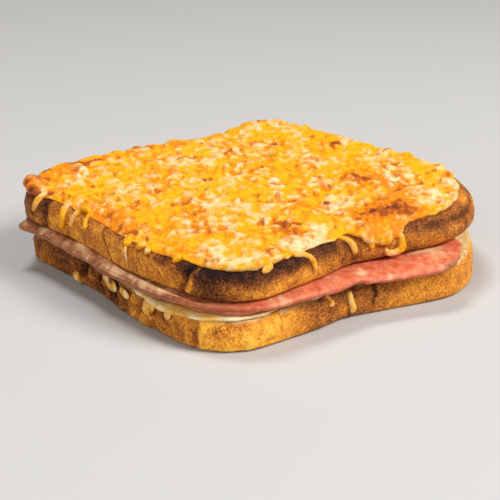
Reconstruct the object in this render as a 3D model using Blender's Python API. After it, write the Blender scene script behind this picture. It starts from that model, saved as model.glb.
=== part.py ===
"""Croque monsieur: two slices of tin loaf with cheese sauce and two slices of ham between them,
and melted grated cheese baked over the top.

Frame: metres, +Z up. +X runs from the loaf's flat base crust to its domed crust, and -Y is the front.
The origin is under the middle of the whole sandwich, on the surface that it rests on.
Lengths in the constants are millimetres, and the meshes are scaled to metres as they are made.
"""

import bpy
import numpy as np

MM = 0.001

# Plan of a slice: a rounded rectangle, one radius for each corner.
SLICE_HALF_X = 54.5
SLICE_HALF_Y = 53.4
CORNERS = (  # corner's signs in X and Y, corner radius, and the direction in degrees where its arc starts
    ((1, 1), 10.0, 0),
    ((-1, 1), 14.0, 90),
    ((-1, -1), 13.0, 180),
    ((1, -1), 31.0, 270),
)
ARC_STEPS = 24

# Where the loaf swells over its tin or pinches in: centre in plan, depth along the outward normal, reach.
SWELLS = (
    ((-10.3, -SLICE_HALF_Y), -1.5, 6.0),
    ((24.2, -SLICE_HALF_Y), 4.5, 12.0),
    ((-14.0, SLICE_HALF_Y), 5.5, 22.0),
    ((25.0, SLICE_HALF_Y), -5.4, 14.0),
    ((SLICE_HALF_X, -7.4), 4.3, 24.0),
    ((-SLICE_HALF_X, -23.7), 4.6, 20.0),
)

# The upper slice lies square to the frame. The lower slice and the filling lie a little askew under it:
# growth, then turn in degrees, counterclockwise seen from above, then shift in plan, then swells of its own.
UPPER_PLACE = (1.0, 0.0, (0.0, 0.0), (((-SLICE_HALF_X, -6.0), 1.6, 16.0),))
LOWER_PLACE = (1.02, -4.8, (1.9, -2.2), ())
FILLING_PLACE = (1.0, -2.4, (0.9, -1.1), ())

# Thicknesses at the middle of the sandwich. The loaf's base side and front are pressed a little flatter.
LOWER_BREAD = 10.6
SAUCE = 0.8
HAM = 1.5
UPPER_BREAD = 9.8
GRATIN = 1.5
GAP = 0.3
THICKER_TOWARDS_DOME = 0.06
THICKER_TOWARDS_BACK = 0.03

# Crust profile: the edges are rounded, and the side swells between them, most of all at the shoulder.
EDGE_RADIUS = 2.4
BASE_EDGE_RADIUS = 1.4
CRUST_BULGE = 1.0
SHOULDER_DIRECTION = 325.0
SHOULDER_SPREAD = 24.0
UPPER_SHOULDER_BULGE = 3.4
LOWER_SHOULDER_BULGE = 1.0
BELLY_LOWERING = 0.75
TOP_DOME = 0.5
SIDE_SHARES = (0.25, 0.5, 0.75)

# The lower slice turns up at its shoulder, past the filling.
LIP_CENTRE = (53.0, -37.0)
LIP_HEIGHT = 2.2
LIP_REACH = 4.0

# Lumps of cheese on the gratin: centre in plan, height, reach.
LUMPS = (
    ((-54.0, 50.0), 2.4, 4.0),
    ((-40.0, 55.0), 0.8, 6.0),
    ((42.0, 50.0), 0.8, 9.0),
    ((50.0, -22.0), 1.2, 8.0),
)

# Rims of the soft layers: direction from the middle in degrees, reach past the crust, and drop at the rim.
# A negative reach stops the layer inside the crust.
SAUCE_RIM = (
    (0, -4.0, 0.0),
    (22, -1.8, 0.0),
    (55, -3.2, 0.0),
    (90, -0.6, 0.0),
    (112, -2.4, 0.0),
    (130, -4.0, 0.0),
    (170, -1.0, 0.0),
    (195, 2.2, 1.0),
    (216, 2.8, 1.6),
    (228, 1.2, 0.9),
    (240, -1.0, 0.0),
    (246, 1.2, 0.2),
    (256, 1.6, 0.3),
    (262, -1.5, 0.0),
    (296, -3.0, 0.0),
    (310, -10.0, 0.0),
    (322, -13.0, 0.0),
    (340, -10.0, 0.0),
)
LOWER_HAM_RIM = (
    (0, -2.6, 0.0),
    (20, -0.4, 0.0),
    (48, -2.4, 0.0),
    (75, 1.0, 0.2),
    (102, 0.4, 0.0),
    (124, -1.0, 0.0),
    (137, 1.8, 0.8),
    (150, 2.2, 0.4),
    (190, 1.4, 0.4),
    (224, 0.0, 0.0),
    (245, -1.0, 0.0),
    (256, -0.4, 0.2),
    (265, 2.4, 0.9),
    (275, 3.2, 1.2),
    (285, 3.5, 1.2),
    (290, 2.0, 0.6),
    (297, -3.0, 0.0),
    (306, -9.0, 0.0),
    (325, -13.0, 0.0),
    (342, -9.0, 0.0),
)
UPPER_HAM_RIM = (
    (0, -2.0, 0.0),
    (24, 1.2, 0.3),
    (50, -1.4, 0.0),
    (72, 0.6, 0.2),
    (96, 2.4, 0.8),
    (118, 0.6, 0.2),
    (132, 1.2, 0.6),
    (139, 4.8, 1.9),
    (145, 3.6, 1.5),
    (165, 4.2, 1.6),
    (180, 3.8, 1.8),
    (205, 2.8, 1.2),
    (222, 0.8, 0.5),
    (236, 2.4, 1.5),
    (243, 3.4, 1.9),
    (250, 4.4, 1.9),
    (257, 5.0, 2.0),
    (265, 5.7, 2.7),
    (275, 6.6, 2.9),
    (284, 7.2, 2.9),
    (290, 6.0, 2.3),
    (295, 2.6, 0.6),
    (300, -3.0, 0.0),
    (309, -8.0, 0.0),
    (325, -12.0, 0.0),
    (342, -8.0, 0.0),
)
GRATIN_RIM = (
    (0, -0.6, 0.0),
    (30, -1.2, 0.0),
    (60, -0.4, 0.0),
    (90, -1.0, 0.0),
    (122, -0.4, 0.0),
    (137, 1.2, 2.0),
    (152, -0.6, 0.0),
    (180, -0.4, 0.0),
    (210, -0.8, 0.0),
    (226, -0.2, 0.2),
    (245, -0.6, 0.0),
    (260, -1.0, 0.0),
    (269, 1.5, 3.0),
    (277, 1.8, 3.8),
    (286, -1.0, 0.0),
    (325, -1.4, 0.0),
)

# Mesh detail.
BREAD_COUNT = 76
SHEET_COUNT = 67
GRATIN_COUNT = 80
EDGE_STEPS = 3
RIM_STEPS = 5

# How far inside the crust a soft layer starts to curve down, and how rounded its edge is, as a share of its
# thickness.
RIM_SPAN = 0.5
RIM_ROUNDING = 0.25


def cumulative_length(points):
    """Distance walked along a run of points, starting at 0."""
    steps = np.hypot(*np.diff(points, axis=0).T)
    return np.concatenate([[0.0], np.cumsum(steps)])


def rounded_rectangle(count):
    """Evenly spaced points round the slice in plan, counterclockwise seen from above."""
    arcs = []
    for (sign_x, sign_y), radius, start in CORNERS:
        turn = np.radians(start + np.linspace(0.0, 90.0, ARC_STEPS))
        centre_x = sign_x * (SLICE_HALF_X - radius)
        centre_y = sign_y * (SLICE_HALF_Y - radius)
        arcs.append(np.stack([centre_x + radius * np.cos(turn), centre_y + radius * np.sin(turn)], axis=1))
    closed = np.concatenate(arcs + [arcs[0][:1]])
    walked = cumulative_length(closed)
    stops = np.linspace(0.0, walked[-1], count, endpoint=False)
    return np.stack([np.interp(stops, walked, closed[:, axis]) for axis in (0, 1)], axis=1)


def outward_normals(ring):
    """Unit normals of a closed counterclockwise ring, pointing out."""
    along = np.roll(ring, -1, axis=0) - np.roll(ring, 1, axis=0)
    across = np.stack([along[:, 1], -along[:, 0]], axis=1)
    return across / np.hypot(*across.T)[:, None]


def loaf_outline(count, place):
    """The slice's outline in plan, with its swells and pinches, turned and shifted, and the outward normals there."""
    ring = rounded_rectangle(count)
    normals = outward_normals(ring)
    growth, turn, shift, own_swells = place
    swell = np.zeros(count)
    for centre, depth, reach in SWELLS + own_swells:
        away = np.hypot(*(ring - np.array(centre)).T)
        swell += depth * np.exp(-0.5 * (away / reach) ** 2)
    turn = np.radians(turn)
    turned = np.array([[np.cos(turn), np.sin(turn)], [-np.sin(turn), np.cos(turn)]])
    outline = growth * (ring + normals * swell[:, None]) @ turned + shift
    return outline, outward_normals(outline)


def pressed(x, y):
    """A slice's thickness at a place, as a share of its thickness at the middle."""
    return 1.0 + THICKER_TOWARDS_DOME * x / SLICE_HALF_X + THICKER_TOWARDS_BACK * y / SLICE_HALF_Y


def lower_bread_top(x, y):
    return LOWER_BREAD * pressed(x, y)


def lower_bread_lip(x, y):
    away = np.hypot(x - LIP_CENTRE[0], y - LIP_CENTRE[1])
    return lower_bread_top(x, y) + LIP_HEIGHT * np.exp(-0.5 * (away / LIP_REACH) ** 2)


def sauce_base(x, y):
    return lower_bread_top(x, y) + GAP


def lower_ham_base(x, y):
    return sauce_base(x, y) + SAUCE + GAP


def upper_ham_base(x, y):
    return lower_ham_base(x, y) + HAM + GAP


def upper_bread_base(x, y):
    return upper_ham_base(x, y) + HAM + GAP


def upper_bread_top(x, y):
    inside = np.clip(1.0 - (x / SLICE_HALF_X) ** 2, 0.0, 1.0) * np.clip(1.0 - (y / SLICE_HALF_Y) ** 2, 0.0, 1.0)
    return upper_bread_base(x, y) + UPPER_BREAD * pressed(x, y) + TOP_DOME * inside


def gratin_base(x, y):
    return upper_bread_top(x, y) + GAP


def gratin_lumps(x, y):
    height = np.zeros_like(x)
    for centre, lump, reach in LUMPS:
        height += lump * np.exp(-0.5 * (np.hypot(x - centre[0], y - centre[1]) / reach) ** 2)
    return height


def no_lumps(x, y):
    return np.zeros_like(x)


def rim_values(rim, outline):
    """Reach and drop of a soft layer at each outline point, eased between the rim's stations."""
    direction = np.degrees(np.arctan2(outline[:, 1], outline[:, 0])) % 360.0
    stations = np.array(rim)
    first, last = stations[0].copy(), stations[-1].copy()
    first[0] += 360.0
    last[0] -= 360.0
    stations = np.vstack([last, stations, first])
    after = np.searchsorted(stations[:, 0], direction, side="right")
    before = after - 1
    share = (direction - stations[before, 0]) / (stations[after, 0] - stations[before, 0])
    eased = share * share * (3.0 - 2.0 * share)
    return stations[before, 1:] + eased[:, None] * (stations[after, 1:] - stations[before, 1:])


def ring_at(plan, heights):
    return np.column_stack([plan, heights])


def edge_profile(radius):
    """Inset and rise of a rounded edge, from the flat face out to the side."""
    quarter = np.linspace(0.0, np.pi / 2, EDGE_STEPS + 1)
    return [(radius * (1.0 - np.sin(turn)), radius * (1.0 - np.cos(turn))) for turn in quarter]


def bread_rings(base, top, place, shoulder_bulge):
    """Rings of a slice from the middle of its underside, up round the crust, to the middle of its top."""
    outline, normals = loaf_outline(BREAD_COUNT, place)
    direction = np.degrees(np.arctan2(outline[:, 1], outline[:, 0])) % 360.0
    off_shoulder = (direction - SHOULDER_DIRECTION + 180.0) % 360.0 - 180.0
    bulge = CRUST_BULGE + shoulder_bulge * np.exp(-0.5 * (off_shoulder / SHOULDER_SPREAD) ** 2)
    under_rim = outline - normals * BASE_EDGE_RADIUS
    top_rim = outline - normals * EDGE_RADIUS
    low, high = base(*under_rim.T), top(*top_rim.T)

    def side_ring(inset, heights):
        belly = np.sin(np.pi * np.clip((heights - low) / (high - low), 0.0, 1.0) ** BELLY_LOWERING)
        return ring_at(outline + normals * (bulge * belly - inset)[:, None], heights)

    rings = [ring_at(under_rim * share, base(*(under_rim * share).T)) for share in (0.5, 0.85)]
    rings += [side_ring(inset, low + rise) for inset, rise in edge_profile(BASE_EDGE_RADIUS)]
    span = high - low - BASE_EDGE_RADIUS - EDGE_RADIUS
    rings += [side_ring(0.0, low + BASE_EDGE_RADIUS + share * span) for share in SIDE_SHARES]
    rings += [side_ring(inset, high - rise) for inset, rise in reversed(edge_profile(EDGE_RADIUS))]
    rings += [ring_at(top_rim * share, top(*(top_rim * share).T)) for share in (0.85, 0.5)]
    return rings


def drape_over(reach, height, below, clearance):
    """Raises a layer's underside where it would touch the layer below, given as that layer's reach and height."""
    if below is None:
        return height
    below_reach, below_height = below
    raised = height.copy()
    for place in range(len(height)):
        under = np.interp(reach[place], below_reach[place], below_height[place], right=-np.inf)
        raised[place] = np.maximum(height[place], under + clearance[place])
    return raised


def soft_layer(base, thickness, rim, count, place, below=None, lumps=no_lumps):
    """Rings of a soft layer that lies on what is below it and curves down past the crust at its rim.

    Seen from the side, the rim is a quarter of an ellipse. Also gives the top's reach and height at each place
    round the rim, for the next layer up.
    """
    outline, normals = loaf_outline(count, place)
    reach, drop = rim_values(rim, outline).T
    start = np.minimum(reach, -EDGE_RADIUS) - RIM_SPAN
    hinge = outline + normals * start[:, None]
    level = base(*hinge.T)
    span = reach - start
    lip = thickness * drop / (drop + 1.0)
    quarter = np.linspace(0.0, np.pi / 2, RIM_STEPS + 1)
    fall = drop[:, None] * (1.0 - np.cos(quarter))
    clearance = GAP * (1.0 + np.minimum(drop[:, None] / 2.0, 1.0) * np.sin(quarter))

    under_reach = start[:, None] + span[:, None] * np.sin(quarter)
    under = drape_over(under_reach, level[:, None] - fall, below, clearance)
    over_reach = start[:, None] + (span + lip)[:, None] * np.sin(quarter)
    over = drape_over(over_reach, level[:, None] - fall, below, clearance) + thickness
    for step in range(RIM_STEPS + 1):
        over[:, step] += lumps(*(outline + normals * over_reach[:, [step]]).T)

    shares = (0.45, 0.8)
    rings = [ring_at(hinge * share, base(*(hinge * share).T)) for share in shares]
    rings += [ring_at(outline + normals * under_reach[:, [step]], under[:, step]) for step in range(RIM_STEPS + 1)]
    edge = outline + normals * (over_reach[:, [-1]] + RIM_ROUNDING * thickness)
    rings.append(ring_at(edge, 0.5 * (under[:, -1] + over[:, -1])))
    rings += [ring_at(outline + normals * over_reach[:, [step]], over[:, step]) for step in range(RIM_STEPS, -1, -1)]
    for share in reversed(shares):
        x, y = (hinge * share).T
        rings.append(ring_at(hinge * share, base(x, y) + thickness + lumps(x, y)))
    past_edge = over_reach[:, [-1, -1]] + np.array([RIM_ROUNDING * thickness + GAP, 2.0])
    past_height = over[:, [-1, -1]] + np.array([0.0, -2.0])
    return rings, (np.hstack([over_reach, past_edge]), np.hstack([over, past_height]))


def solid_from_rings(name, rings, material):
    """One closed mesh from rings that all have the same number of points, with a pole at each end."""
    points = np.array(rings)
    ring_count, count = points.shape[:2]
    poles = np.stack([points[0].mean(axis=0), points[-1].mean(axis=0)])
    vertices = np.concatenate([points.reshape(-1, 3), poles]) * MM
    faces = []
    for ring in range(ring_count - 1):
        for here in range(count):
            after = (here + 1) % count
            below, above = ring * count, (ring + 1) * count
            faces.append((below + here, below + after, above + after, above + here))
    last, bottom_pole, top_pole = (ring_count - 1) * count, ring_count * count, ring_count * count + 1
    for here in range(count):
        after = (here + 1) % count
        faces.append((bottom_pole, after, here))
        faces.append((last + here, last + after, top_pole))
    mesh = bpy.data.meshes.new(name)
    mesh.from_pydata(vertices.tolist(), [], faces)
    mesh.materials.append(material)
    mesh.shade_smooth()
    mesh.set_sharp_from_angle(angle=np.radians(50.0))
    solid = bpy.data.objects.new(name, mesh)
    bpy.context.scene.collection.objects.link(solid)
    return solid


def food_material(name, colour, roughness):
    material = bpy.data.materials.new(name)
    material.use_nodes = True
    shader = material.node_tree.nodes["Principled BSDF"]
    shader.inputs["Base Color"].default_value = (*colour, 1.0)
    shader.inputs["Roughness"].default_value = roughness
    shader.inputs["Metallic"].default_value = 0.0
    return material


def stand_on_origin(solids):
    """Moves all the meshes together, so that the whole sandwich is centred over the origin and rests at Z = 0."""
    corners = np.array([vertex.co for solid in solids for vertex in solid.data.vertices])
    low, high = corners.min(axis=0), corners.max(axis=0)
    shift = -np.array([(low[0] + high[0]) / 2, (low[1] + high[1]) / 2, low[2]])
    for solid in solids:
        for vertex in solid.data.vertices:
            vertex.co = [place + step for place, step in zip(vertex.co, shift)]


def clear_scene():
    for item in list(bpy.data.objects):
        bpy.data.objects.remove(item)


def main():
    clear_scene()
    crust = food_material("toasted_crust", (0.50, 0.22, 0.045), 0.6)
    sauce = food_material("cheese_sauce", (0.80, 0.60, 0.30), 0.45)
    ham = food_material("cooked_ham", (0.66, 0.17, 0.09), 0.4)
    gratin = food_material("melted_cheese", (0.95, 0.55, 0.10), 0.4)

    def flat_base(x, y):
        return np.zeros_like(x)

    lower_bread = bread_rings(flat_base, lower_bread_lip, LOWER_PLACE, LOWER_SHOULDER_BULGE)
    upper_bread = bread_rings(upper_bread_base, upper_bread_top, UPPER_PLACE, UPPER_SHOULDER_BULGE)
    sauce_rings, sauce_top = soft_layer(sauce_base, SAUCE, SAUCE_RIM, SHEET_COUNT, FILLING_PLACE)
    lower_rings, lower_top = soft_layer(lower_ham_base, HAM, LOWER_HAM_RIM, SHEET_COUNT, FILLING_PLACE, sauce_top)
    upper_rings, _ = soft_layer(upper_ham_base, HAM, UPPER_HAM_RIM, SHEET_COUNT, FILLING_PLACE, lower_top)
    gratin_rings, _ = soft_layer(gratin_base, GRATIN, GRATIN_RIM, GRATIN_COUNT, UPPER_PLACE, lumps=gratin_lumps)
    solids = [
        solid_from_rings("bread_slice_lower", lower_bread, crust),
        solid_from_rings("cheese_sauce", sauce_rings, sauce),
        solid_from_rings("ham_slice_lower", lower_rings, ham),
        solid_from_rings("ham_slice_upper", upper_rings, ham),
        solid_from_rings("bread_slice_upper", upper_bread, crust),
        solid_from_rings("gratin_cheese", gratin_rings, gratin),
    ]
    stand_on_origin(solids)


main()
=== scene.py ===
import bpy
import numpy as np
from mathutils import Matrix, Vector


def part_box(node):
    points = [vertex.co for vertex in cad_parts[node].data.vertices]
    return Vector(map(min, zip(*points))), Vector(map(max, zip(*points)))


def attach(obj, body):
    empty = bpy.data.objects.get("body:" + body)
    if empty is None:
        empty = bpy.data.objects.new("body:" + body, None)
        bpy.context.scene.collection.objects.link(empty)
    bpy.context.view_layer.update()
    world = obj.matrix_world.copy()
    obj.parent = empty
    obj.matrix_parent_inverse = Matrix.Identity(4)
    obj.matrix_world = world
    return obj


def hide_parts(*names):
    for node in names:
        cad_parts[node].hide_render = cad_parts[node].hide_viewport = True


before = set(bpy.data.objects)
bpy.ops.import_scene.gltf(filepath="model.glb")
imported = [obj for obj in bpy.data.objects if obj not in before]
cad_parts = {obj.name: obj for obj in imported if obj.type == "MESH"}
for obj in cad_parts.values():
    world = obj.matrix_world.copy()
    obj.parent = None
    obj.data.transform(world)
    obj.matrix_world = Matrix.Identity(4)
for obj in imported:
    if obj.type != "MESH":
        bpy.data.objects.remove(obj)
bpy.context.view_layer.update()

scene = bpy.context.scene
mm = 0.001

# Plan of a slice of the loaf, in millimetres from its middle
loaf = {
    "halfWidth": 54.5,
    "halfDepth": 53.4,
    "corners": [(1, 1, 10), (-1, 1, 14), (-1, -1, 13), (1, -1, 31)],  # which corner, radius
    # place, reach and depth of the swells of its outline
    "swells": [(-10.3, -53.4, 6, -1.5), (24.2, -53.4, 12, 4.5), (-14, 53.4, 22, 5.5), (25, 53.4, 14, -5.4),
               (54.5, -7.4, 24, 4.3), (-54.5, -23.7, 20, 4.6)],
    "bulge": 1.0,  # how far the crust swells between its two faces
    "belly": 0.75,  # below 1, the swell is lower than half way up
    "footEdge": 1.4,  # radius of the lower edge
    "topEdge": 2.4,  # radius of the upper edge
    "shoulder": (325, 24),  # direction and spread, in degrees, of the loaf's shoulder
    "pressed": (0.06, 0.03),  # thicker towards the domed crust, and towards the back
    "arcStops": 24,  # points on each corner's arc
    "stops": 760,  # points round a slice, ham or sauce
    "measuringStops": 720,  # points round an outline that is only measured
}

# Heights of the layers, in millimetres. The lip is where the lower slice turns up: place, reach and height
layers = {"lowerBread": 10.6, "sauce": 0.8, "ham": 1.5, "upperBread": 9.8, "gap": 0.3, "dome": 0.5,
          "lip": (53, -37, 4, 2.2)}


def linearColour(hexCode):
    # sRGB to linear, channel by channel: c / 12.92 near black, else ((c + 0.055) / 1.055) to the power 2.4
    channels = np.array([int(hexCode[k:k + 2], 16) for k in (1, 3, 5)]) / 255.0
    return (*np.where(channels < 0.04045, channels / 12.92, ((channels + 0.055) / 1.055) ** 2.4), 1.0)


def smooth(low, high, value):
    # 0 below low, 1 above high, and 3t^2 - 2t^3 between them
    share = np.clip((value - low) / (high - low), 0.0, 1.0)
    return share * share * (3.0 - 2.0 * share)


def bump(away, reach):
    # A rounded hill: e to the power of minus half of (distance / reach) squared
    return np.exp(-0.5 * (away / reach) ** 2)


def spots(entries, x, y):
    # The sum of rounded hills: each is its strength times bump of the distance to its place
    return sum(strength * bump(np.hypot(x - spotX, y - spotY), reach) for spotX, spotY, reach, strength in entries)


def field(points, size, seed, count=40):
    # An uneven field from about -1 to 1: sine waves in random directions, each patch about as wide as size
    dice = np.random.default_rng(seed)
    total = np.zeros(points.shape[:-1])
    for _ in range(count):
        heading = dice.normal(size=points.shape[-1])
        heading *= np.pi / (np.linalg.norm(heading) * size * 2.0 ** dice.uniform(-0.6, 0.6))
        total += np.sin(points @ heading + dice.uniform(0, 2 * np.pi))
    return total * np.sqrt(2.0 / count) / 1.6


def fields(points, waves, seed=0):
    # The sum of several fields: each is its strength times a field of its size, with its own number added to seed
    return sum(strength * field(points, size, seed + number) for strength, size, number in waves)


def directionOf(x, y):
    # Degrees counterclockwise from the right, from 0 to 360
    return np.degrees(np.arctan2(y, x)) % 360.0


def eased(stations, direction):
    # Values at a direction: last + smooth share * (next - last) between two stations, once round in degrees
    table = np.array(stations, float)
    fullTurn = np.zeros(table.shape[1])
    fullTurn[0] = 360.0
    table = np.vstack([table[-1] - fullTurn, table, table[0] + fullTurn])
    direction = direction % 360.0
    after = np.searchsorted(table[:, 0], direction, side="right")
    last, coming = table[after - 1], table[after]
    share = smooth(last[..., 0], coming[..., 0], direction)[..., None]
    return np.moveaxis(last + share * (coming - last), -1, 0)[1:]


def planWalk():
    # Rectangle with a quarter circle at each corner, walked counterclockwise, and the length walked to each point
    arcs = []
    for quarter, (signX, signY, radius) in enumerate(loaf["corners"]):
        turn = np.radians(90.0 * quarter + np.linspace(0.0, 90.0, loaf["arcStops"]))
        arcs.append(np.stack([signX * (loaf["halfWidth"] - radius) + radius * np.cos(turn),
                              signY * (loaf["halfDepth"] - radius) + radius * np.sin(turn)], axis=1))
    points = np.concatenate(arcs + [arcs[0][:1]])
    return points, np.concatenate([[0.0], np.cumsum(np.hypot(*np.diff(points, axis=0).T))])


def outwardNormals(ring):
    # Square to the line between each point's two neighbours
    along = np.roll(ring, -1, axis=0) - np.roll(ring, 1, axis=0)
    across = np.stack([along[:, 1], -along[:, 0]], axis=1)
    return across / np.hypot(*across.T)[:, None]


def evenStops(count):
    # Lengths walked to stops that are evenly spaced, once round
    return np.linspace(0.0, planWalk()[1][-1], count, endpoint=False)


def cornerStops(count):
    # The same number of stops on each side of the slice, from the middle of one corner's arc to the next
    walked, arc = planWalk()[1], loaf["arcStops"]
    middles = [(walked[at - 1] + walked[at]) / 2 for at in arc // 2 + arc * np.arange(4)]
    middles.append(middles[0] + walked[-1])
    sides = [np.linspace(middles[k], middles[k + 1], count, endpoint=False) for k in range(4)]
    return np.concatenate(sides) % walked[-1]


def loafOutline(stops, place):
    # The plan's points plus each swell along the normal, then grown, turned and shifted to their place
    points, walked = planWalk()
    ring = np.stack([np.interp(stops, walked, points[:, axis]) for axis in (0, 1)], axis=1)
    swell = spots(loaf["swells"] + list(place[3:]), *ring.T)
    growth, turn, shift = place[:3]
    cos, sin = np.cos(np.radians(turn)), np.sin(np.radians(turn))
    outline = growth * (ring + outwardNormals(ring) * swell[:, None]) @ np.array([[cos, sin], [-sin, cos]]) + shift
    return outline, outwardNormals(outline)


def pressed(x, y):
    # 1 in the middle, plus a share that grows evenly to the right, and one that grows evenly to the back
    return 1.0 + loaf["pressed"][0] * x / loaf["halfWidth"] + loaf["pressed"][1] * y / loaf["halfDepth"]


def lowerTop(x, y):
    # The lower slice's upper face: its thickness times pressed, and a lip turned up at the shoulder
    return layers["lowerBread"] * pressed(x, y) + spots([layers["lip"]], x, y)


def heightOver(*below):
    # The underside of a layer: the lower slice's upper face, a gap, then each layer below it with its own gap
    def height(x, y):
        level = layers["lowerBread"] * pressed(x, y) + layers["gap"]
        for layer in below:
            level = level + layers[layer] + layers["gap"]
        return level
    return height


sauceBase, lowerHamBase = heightOver(), heightOver("sauce")
upperHamBase, upperBase = heightOver("sauce", "ham"), heightOver("sauce", "ham", "ham")


def upperTop(x, y):
    # Its underside, its thickness times pressed, and a dome: 1 - (x / half width)^2, times the same in y
    dome = np.clip(1.0 - (x / loaf["halfWidth"]) ** 2, 0, 1) * np.clip(1.0 - (y / loaf["halfDepth"]) ** 2, 0, 1)
    return upperBase(x, y) + layers["upperBread"] * pressed(x, y) + layers["dome"] * dome


lowerSlice = {
    "place": (1.02, -4.8, (1.9, -2.2)),  # growth, turn in degrees, shift, then swells of its own, as the loaf's
    "foot": lambda x, y: 0.0 * x,  # heights of its two faces
    "head": lowerTop,
    "shoulderBulge": -0.7,  # how much more the crust swells at the shoulder
    "crumb": 1.0,  # how much pale crumb shows on the upper face
    "cutFace": 0.34,  # how toasted the flat faces are
    # direction, how toasted the crust is at its foot and at its head (0 pale gold, 1 nearly black), and how far up
    # the head's tone starts. A darker head is partly painted shade under the layer above it
    "toast": [
        (20, .4, .46, .3), (110, .44, .5, .3), (140, .54, .6, .3), (150, .62, .66, .3), (186, .6, .62, .3),
        (194, .38, .42, .3), (211, .36, .4, .3), (214.6, .42, .42, .3), (216.8, .1, .06, .5), (226, .1, .26, .5),
        (234, .18, .26, .5), (246, .46, .5, .4), (262, .5, .58, .4), (276, .34, .34, .4), (300, .3, .26, .4),
        (325, .28, .16, .4),
    ],
    # direction, height, slant, reach across, reach up and down, depth and darkening of creases; below 0 a ridge. The
    # darkening is painted shade in the crease, and a row of depth 0 is a band of painted shade only
    "creases": [
        (215, 5, .05, .5, 90, .7, .2), (216.4, 5, .05, .5, 90, -.5, -.1), (224.5, 4, .1, .4, 5, .25, .12),
        (266.8, 7, .1, .45, 3.5, .5, .4), (160, 5, .5, 1.2, 90, .9, .15), (170, 5, -.4, 1.6, 90, 1, .15),
        (180, 5, .3, 1.2, 90, .9, .15), (196, 5, .5, 1, 90, .6, .15), (205, 5, -.3, 1.2, 90, .5, .15),
        (219.5, 7, .3, 3.4, 2.6, 0, .22), (260, 8.5, .2, 5.5, 2.2, 0, .16), (247, 3, 0, 6, 3, 0, .08),
        (229, 4.5, .2, .35, 4, .3, .16), (234.5, 6, -.1, .4, 3, .3, .16),
    ],
    # direction, how ragged
    "rough": [(130, .5), (145, 1), (205, 1), (213, .35), (228, .45), (240, .25), (325, .2)],
}

upperSlice = {
    "place": (1.0, 0.0, (0.0, 0.0), (-54.5, -6, 16, 1.6)),
    "foot": upperBase,
    "head": upperTop,
    "shoulderBulge": 4.2,
    "crumb": 0.0,
    "cutFace": 0.34,
    # Its head is darker than its foot: toasting, and painted shade just under the cheese's rim
    "toast": [
        (20, .4, .58, .5), (110, .42, .62, .5), (136, .56, .76, .4), (146, .52, .7, .4), (152, .34, .5, .7),
        (176, .33, .5, .7), (186, .34, .56, .7), (198, .35, .58, .7), (206, .35, .74, .62), (212, .42, .88, .5),
        (218, .74, 1, .25), (228, .34, 1, .22), (240, .27, .92, .3), (252, .42, .74, .4), (264, .46, .68, .45),
        (278, .49, .64, .5), (290, .5, .58, .5), (304, .4, .5, .6), (318, .38, .48, .6), (335, .36, .52, .6),
    ],
    # Darkening in these creases is painted shade; a row of depth 0 is a band of painted shade only
    "creases": [
        (147.6, 18, .15, .9, 90, .9, .3), (157.6, 17, .1, .8, 3, .5, .25), (181, 19, -.8, .6, 5, .8, .3),
        (211.8, 18, .35, .7, 90, .8, .3), (213.4, 18, .35, .6, 90, -.4, -.25), (238, 17, .2, .8, 90, .2, .1),
        (262, 18, .1, 1.4, 90, .3, .1), (289, 23, 0, 4, .8, .3, .16), (298, 23, .06, 5, .65, .6, .2),
        (308, 23.1, .08, 6.5, .55, .8, .22), (322, 23.3, 0, 7, .5, .7, .2), (306, 21.4, 0, 9, 1.6, 0, .16),
    ],
    "rough": [(130, .3), (205, .3), (215, .15), (325, .15)],
}


def sliceEdges(look, stops):
    # Outline, normals, directions, the crust's bulge, and the heights of the two faces where they round over
    outline, normals = loafOutline(stops, look["place"])
    direction = directionOf(*outline.T)
    middle, spread = loaf["shoulder"]
    bulge = loaf["bulge"] + look["shoulderBulge"] * bump((direction - middle + 180.0) % 360.0 - 180.0, spread)
    low = look["foot"](*(outline - normals * loaf["footEdge"]).T)
    high = look["head"](*(outline - normals * loaf["topEdge"]).T)
    return {"outline": outline, "normals": normals, "direction": direction, "bulge": bulge,
            "low": low, "high": high}


def bellyOut(edges, heights):
    # How far the crust swells out at a height: bulge times the sine of a half turn from foot to head
    share = np.clip((heights - edges["low"]) / (edges["high"] - edges["low"]), 0.0, 1.0)
    return edges["bulge"] * np.sin(np.pi * share ** loaf["belly"])


def outerRing(edges, out, heights):
    # The outline moved out along its normals, at its heights
    return np.column_stack([edges["outline"] + edges["normals"] * out[:, None], heights])


def innerRing(rim, share, face, above=0.0):
    # The rim drawn in to a share of its size, at the heights of a face
    ring = rim * share
    return np.column_stack([ring, face(*ring.T) + above])


def gridNormals(grid):
    # Cross product of the way round and the way up, on a grid that closes on itself round
    around = np.roll(grid, -1, axis=1) - np.roll(grid, 1, axis=1)
    normals = np.cross(around, np.gradient(grid, axis=0))
    return normals / np.maximum(np.linalg.norm(normals, axis=2, keepdims=True), 1e-9)


def ringFaces(first, second):
    # Quads between two closed rings of vertex numbers, first below second
    return np.stack([first, np.roll(first, -1), np.roll(second, -1), second], axis=1)


def closedSurface(grid, start=0):
    # Rings from the lower pole to the upper pole, with a fan of triangles at each end; start is the first number
    rings, count = grid.shape[:2]
    numbers = start + np.arange(rings * count).reshape(rings, count)
    quads = np.concatenate([ringFaces(numbers[k], numbers[k + 1]) for k in range(rings - 1)])
    low, high = np.full((2, count), start + rings * count) + [[0], [1]]
    fans = np.concatenate([np.stack([low, np.roll(numbers[0], -1), numbers[0]], axis=1),
                           np.stack([numbers[-1], np.roll(numbers[-1], -1), high], axis=1)])
    vertices = np.concatenate([grid.reshape(-1, 3), grid[:1].mean(axis=1), grid[-1:].mean(axis=1)])
    return vertices, quads.tolist() + fans.tolist()


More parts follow.
